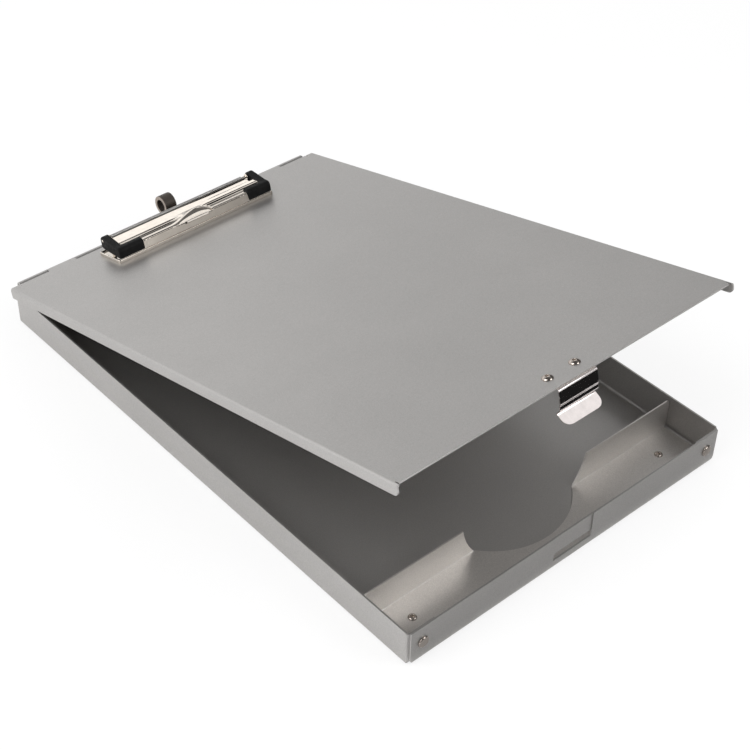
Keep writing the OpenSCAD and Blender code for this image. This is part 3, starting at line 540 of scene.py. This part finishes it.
def jaw_sheet():
    xs = np.linspace(-JAW_X, JAW_X, JAW_COLUMNS)
    grid = np.array([[(x, *p) for p in jaw_section(x)] for x in xs])
    lip_rows = len(LIP_ROWS) + len(FACE_ROWS) + 1
    for x in DIMPLES_X:
        away = np.hypot(grid[:, :lip_rows, 0] - x, grid[:, :lip_rows, 2] - DIMPLE_Z)
        grid[:, :lip_rows, 1] -= DIMPLE_DEPTH * np.exp(-(away / DIMPLE_R) ** 2)
    middle = (xs[:-1] + xs[1:]) / 2
    keep = np.ones((len(xs) - 1, grid.shape[1] - 1), bool)
    keep[(middle > SLIT_X[0]) & (middle < SLIT_X[1]), len(LIP_ROWS) - 1] = False
    keep[(middle > WINDOW_X[0]) & (middle < WINDOW_X[1]), -WINDOW_ROWS:] = False
    return skin(grid, JAW_T, keep, 1)


cheek_outline = np.vstack([arc((0, ROD_Z), 1.7, -90, -270, 13),
                           [(2.6, 10.2), (16.0, 7.4), (16.9, 2.8), (16.1, 3.8)]])
piece("jaw_sheet", [jaw_sheet()] + plates(cheek_outline, lug(-CHEEK_X), lug(CHEEK_X)), on_clip, "clip_jaw",
      "bright_nickel", ["jaw_plate"], width=0.1, angle=60)

# The lever: a tongue under the plate that passes below the rod and rolls up nearly twice round the eye
EYE, EYE_R, ROLL_R, ROLL_TURNS, ROLL_STEPS = np.array([-16.2, 8.8]), 3.8, 6.5, 1.94, 150
LEVER_T, LEVER_W, TONGUE_BEND = 1.25, 8.0, 2.2
TONGUE = [(7.5, 8.25), (3.9, 9.0), (1.9, 7.0), (-1.6, 5.3), (-8.1, 3.9), (-12.5, 3.1), (-16.2, 2.93)]


def lever():
    turn = np.linspace(0, 2 * math.pi * ROLL_TURNS, ROLL_STEPS)
    radius = ROLL_R - LEVER_T / 2 - (ROLL_R - EYE_R - LEVER_T) * smooth(turn / turn[-1])
    roll = EYE + np.column_stack([-np.sin(turn) * radius, -np.cos(turn) * radius])
    line = np.vstack([rounded(TONGUE, TONGUE_BEND, 7)[:-1], roll])
    return skin([[(x, u, h) for x in np.linspace(-LEVER_W / 2, LEVER_W / 2, 5)] for u, h in line], LEVER_T)


piece("jaw_lever_roll", [lever()], on_clip, "clip_jaw", "lever_steel", ["jaw_lever"], width=0.2, angle=60,
      cut_mat=WORN_EDGE)

# The rubber caps: where they end across, and how finely and softly their outlines are moulded together
CAP_OUT, CAP_SIDE_IN, CAP_FRONT_IN = 57.9, 53.0, 39.8
CAP_VOXEL, CAP_SOFTENING = 0.28, 24
CAP_SIDE = np.vstack([arc((0, ROD_Z), 2.6, 180, 75, 14),
                      [(13.3, 9.9), (16.6, 9.6), (18.0, 8.2), (18.0, 2.5), (-1.3, 4.9), (-2.7, 6.3)]])
CAP_FRONT = [(12.7, 6.5), (12.7, 9.9), (16.6, 9.6), (18.0, 8.2), (18.0, 2.5), (12.9, 3.2), (12.7, 6.0)]


def rubber_cap(side, sign):
    """A moulded cap over one end of the jaw: a side arm round the rod and a front arm over the lip."""
    parts = (plates(rounded(CAP_SIDE, 1.0), sorted((sign * CAP_OUT, sign * CAP_SIDE_IN)))
             + plates(rounded(CAP_FRONT, 0.9), sorted((sign * CAP_OUT, sign * CAP_FRONT_IN))))
    obj = piece(f"jaw_rubber_cap_{side}", parts, on_clip, "clip_jaw", "black_rubber", [f"jaw_cap_{side}"])
    remesh = obj.modifiers.new("mould", "REMESH")
    remesh.mode, remesh.voxel_size, remesh.use_smooth_shade = "VOXEL", CAP_VOXEL * MM, True
    soften = obj.modifiers.new("soften", "SMOOTH")
    soften.factor, soften.iterations = 0.5, CAP_SOFTENING


rubber_cap("left", -1)
rubber_cap("right", 1)

# Stage, light and camera; places in metres

# The floor's share of plain white for the camera, half its width and its height; and the level cards' height
FLOOR_WHITE, FLOOR_HALF, FLOOR_Z, CARD_Z = 0.75, 4, -0.0002, 0.0003
# The clip's middle, and how far from it the card stands that its polish sees
CLIP_AT, SKY_CARD_FAR = np.array([0.0, 0.166, 0.04]), 1.2


def staged(name, verts, mat, **visible):
    """One flat face of the stage, with the kinds of ray that don't see it set to False."""
    mesh = bpy.data.meshes.new(name)
    mesh.from_pydata(verts, [], [tuple(range(len(verts)))])
    obj = bpy.data.objects.new(name, mesh)
    mesh.materials.append(mat)
    bpy.context.scene.collection.objects.link(obj)
    for key, value in visible.items():
        setattr(obj, key, value)


def level(x, y, w, d, z):
    """The corners of a level rectangle round a place, of a width and a depth."""
    return [(x + a * w / 2, y + b * d / 2, z) for a, b in ((-1, -1), (1, -1), (1, 1), (-1, 1))]


def floor_material():
    """Pale paper that takes a soft shadow; for the camera it is mixed with the backdrop's plain white."""
    mat, tree, shader = new_material("pale_floor", (0.86, 0.86, 0.86), 0.0, 0.9, Specular_IOR_Level=0.0)
    white = tree.nodes.new("ShaderNodeEmission")
    path = tree.nodes.new("ShaderNodeLightPath")
    share = tree.nodes.new("ShaderNodeMath")
    share.operation = "MULTIPLY"
    share.inputs[1].default_value = FLOOR_WHITE
    mix = tree.nodes.new("ShaderNodeMixShader")
    tree.links.new(path.outputs["Is Camera Ray"], share.inputs[0])
    tree.links.new(share.outputs[0], mix.inputs["Fac"])
    tree.links.new(shader.outputs[0], mix.inputs[1])
    tree.links.new(white.outputs[0], mix.inputs[2])
    tree.links.new(mix.outputs[0], tree.nodes["Material Output"].inputs["Surface"])
    return mat


def card(name, verts, grey=0.01):
    """A black or grey card that only reflections see, as set up round polished metal in a studio."""
    mat, _, _ = new_material(name, (grey, grey, grey), 0.0, 0.9, Specular_IOR_Level=0.0)
    staged(name, verts, mat, visible_camera=False, visible_diffuse=False, visible_shadow=False,
           visible_transmission=False)


def sky_card(name, bearings, elevations):
    """A card facing the clip, between two bearings from +Y towards +X and two elevations, in degrees."""
    (left, right), (low, high) = np.radians(bearings), np.radians(elevations)
    towards = [(math.sin(p) * math.cos(q), math.cos(p) * math.cos(q), math.sin(q))
               for p, q in ((left, low), (right, low), (right, high), (left, high))]
    card(name, [CLIP_AT + SKY_CARD_FAR * np.array(direction) for direction in towards])


staged("floor", level(0, 0, 2 * FLOOR_HALF, 2 * FLOOR_HALF, FLOOR_Z), floor_material())
card("floor_card", level(0.21, -0.43, 0.26, 0.20, CARD_Z))
card("front_card", level(0.04, -0.229, 0.36, 0.10, CARD_Z), grey=0.40)
sky_card("side_card", (32.7, 43), (25, 50))


def area(name, place_at, look_at, size, power):
    """A square lamp that the camera doesn't see."""
    lamp = bpy.data.lights.new(name, "AREA")
    lamp.shape, lamp.size, lamp.size_y, lamp.energy = "RECTANGLE", size, size, power
    obj = bpy.data.objects.new(name, lamp)
    obj.location = place_at
    obj.rotation_euler = (Vector(look_at) - Vector(place_at)).to_track_quat("-Z", "Y").to_euler()
    obj.visible_camera = False
    bpy.context.scene.collection.objects.link(obj)


area("key", (-1.6, 0.3, 1.9), (0, 0, 0.05), 1.6, 31)
area("fill", (0.26, -0.62, 0.58), (-0.05, -0.15, 0.02), 0.42, 0.72)
area("tab_light", (0.457, -0.363, 0.697), (0.0, -0.17, 0.1), 0.26, 0.21)
area("near_fill", (0.128, -0.44, 0.327), (-0.12, -0.155, 0.0), 0.22, 0.38)

# The sky's strength: for diffuse surfaces, and as polished metal sees it in front, behind and overhead
DIFFUSE_SKY, FRONT_SKY, BACK_SKY, TOP_SKY, RIGHT_SHARE = 0.85, 0.15, 1.3, 0.14, 0.12
# Behind are two bright panels, one over the other with a dark gap between; each stop is a direction's height
PANELS = [(0.02, 0.45), (0.10, 0.75), (0.30, BACK_SKY), (0.555, BACK_SKY), (0.575, 0.22), (0.60, 0.22),
          (0.62, 0.85), (0.74, 0.80), (0.80, TOP_SKY)]
# Where they give way to the dim front and to the shaded right end, as parts of a direction along Y and X
FRONT_Y, RIGHT_X = (-0.30, 0.10), (0.565, 0.74)


def blend_values(tree, fac, a, b):
    """Mixes two numbers, each a socket or a plain value, by a factor socket."""
    node = tree.nodes.new("ShaderNodeMix")
    node.data_type = "FLOAT"
    tree.links.new(fac, node.inputs["Factor"])
    for socket, value in ((node.inputs["A"], a), (node.inputs["B"], b)):
        if hasattr(value, "is_linked"):
            tree.links.new(value, socket)
        else:
            socket.default_value = value
    return node.outputs["Result"]


def mapped(tree, value, marks, at_low, at_high):
    """A number that goes smoothly from one value to another as a socket passes between two marks."""
    node = tree.nodes.new("ShaderNodeMapRange")
    node.interpolation_type = "SMOOTHSTEP"
    node.inputs["From Min"].default_value, node.inputs["From Max"].default_value = marks
    node.inputs["To Min"].default_value = at_low
    node.inputs["To Max"].default_value = at_high
    tree.links.new(value, node.inputs["Value"])
    return node.outputs["Result"]


def studio_world():
    """White for the camera, an even sky for diffuse surfaces, and panels and a dim room for reflections."""
    world = bpy.data.worlds.new("studio")
    world.use_nodes = True
    tree = world.node_tree
    direction = tree.nodes.new("ShaderNodeTexCoord")
    split = tree.nodes.new("ShaderNodeSeparateXYZ")
    tree.links.new(direction.outputs["Generated"], split.inputs["Vector"])
    shaded = tree.nodes.new("ShaderNodeMath")
    shaded.operation = "MULTIPLY"
    tree.links.new(ramp(tree, split.outputs["Z"], PANELS), shaded.inputs[0])
    tree.links.new(mapped(tree, split.outputs["X"], RIGHT_X, 1.0, RIGHT_SHARE), shaded.inputs[1])
    front = mapped(tree, split.outputs["Y"], FRONT_Y, 1.0, 0.0)
    room = blend_values(tree, front, shaded.outputs[0], FRONT_SKY)
    path = tree.nodes.new("ShaderNodeLightPath")
    strength = blend_values(tree, path.outputs["Is Glossy Ray"], DIFFUSE_SKY, room)
    strength = blend_values(tree, path.outputs["Is Camera Ray"], strength, 1.0)
    background = tree.nodes["Background"]
    background.inputs["Color"].default_value = (1, 1, 1, 1)
    tree.links.new(strength, background.inputs["Strength"])
    return world


bpy.context.scene.world = studio_world()

# The photograph's view: turns about X, Y and Z of the camera, its place in mm and its focal length in pixels
CAMERA_TURN = (-0.7149, 0.5361, 0.5055)
CAMERA_AT = (-486.54, -556.90, 640.82)
FOCAL_PX, FRAME_PX, SENSOR_W = 1672.94, 750, 36


def turned(a, b, c):
    return Matrix.Rotation(c, 3, "Z") @ Matrix.Rotation(b, 3, "Y") @ Matrix.Rotation(a, 3, "X")


camera = bpy.data.objects.new("camera", bpy.data.cameras.new("camera"))
camera.data.sensor_width = SENSOR_W
camera.data.lens = FOCAL_PX * SENSOR_W / FRAME_PX
camera.data.clip_start, camera.data.clip_end = 0.02, 20
camera.matrix_world = Matrix.Translation(Vector(CAMERA_AT) * MM) @ turned(*CAMERA_TURN).transposed().to_4x4()
bpy.context.scene.collection.objects.link(camera)
bpy.context.scene.camera = camera
bpy.context.scene.view_settings.view_transform = "Standard"
